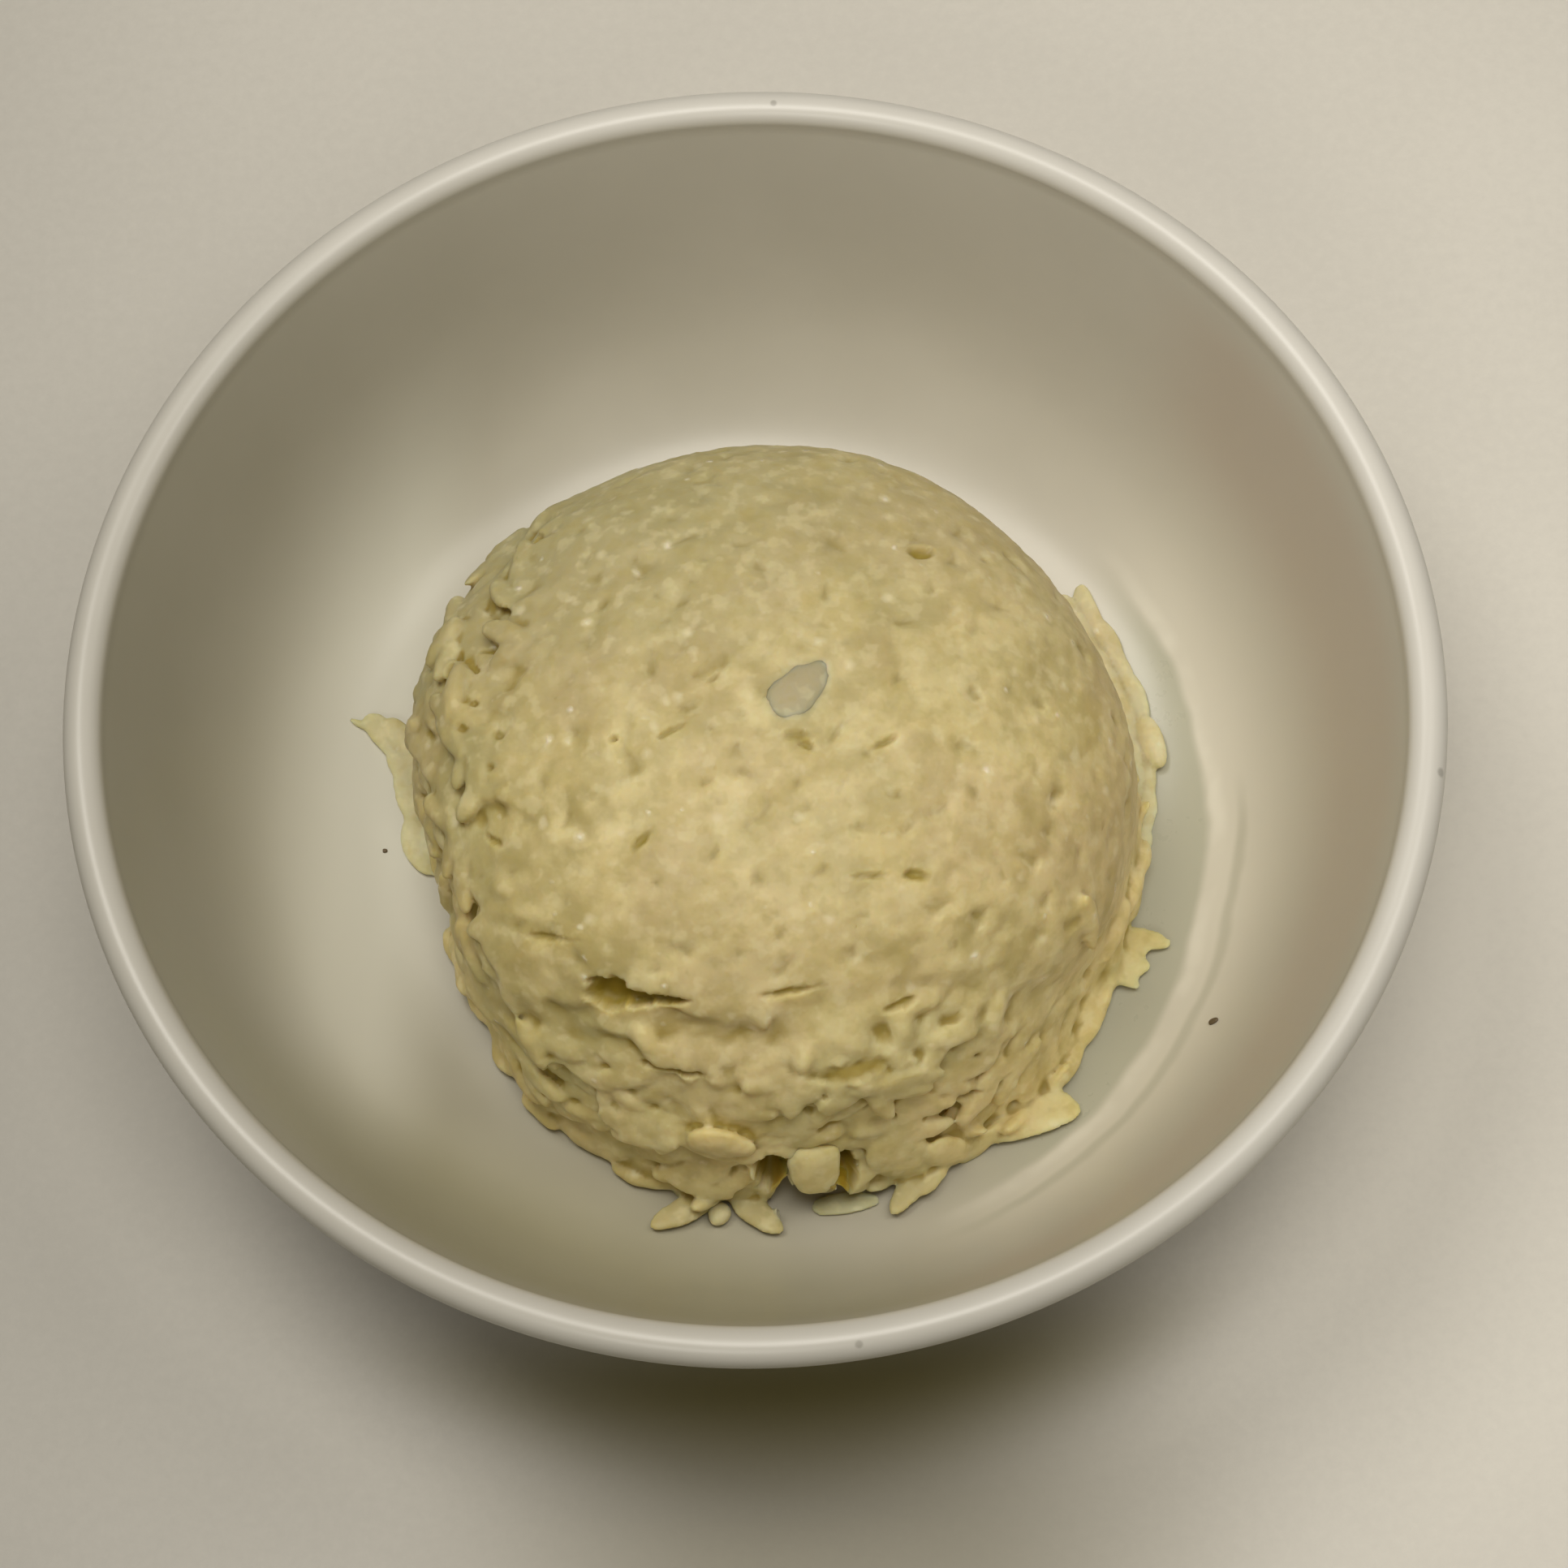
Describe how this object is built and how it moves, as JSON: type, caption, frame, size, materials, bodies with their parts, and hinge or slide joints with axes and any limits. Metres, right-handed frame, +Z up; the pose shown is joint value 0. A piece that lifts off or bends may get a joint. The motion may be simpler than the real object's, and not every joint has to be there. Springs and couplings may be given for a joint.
{
  "type": "bowl of white rice",
  "caption": "Dome of plain cooked white rice, turned out of a mould and slumped at the front, served in a round white glazed bowl on a foot ring.",
  "frame": {"origin": "on the bowl's axis, at the bottom of its foot ring", "axes": "+Z up along the bowl's axis; -Y towards the diner and the side where the rice has slumped; +X to the diner's right"},
  "size_m": [0.16, 0.16, 0.053],
  "materials": {
    "white_glaze": "gloss",
    "cooked_rice": "satin"
  },
  "bodies": {
    "root": {"bowl": "white_glaze", "rice": "cooked_rice"}
  },
  "joints": []
}
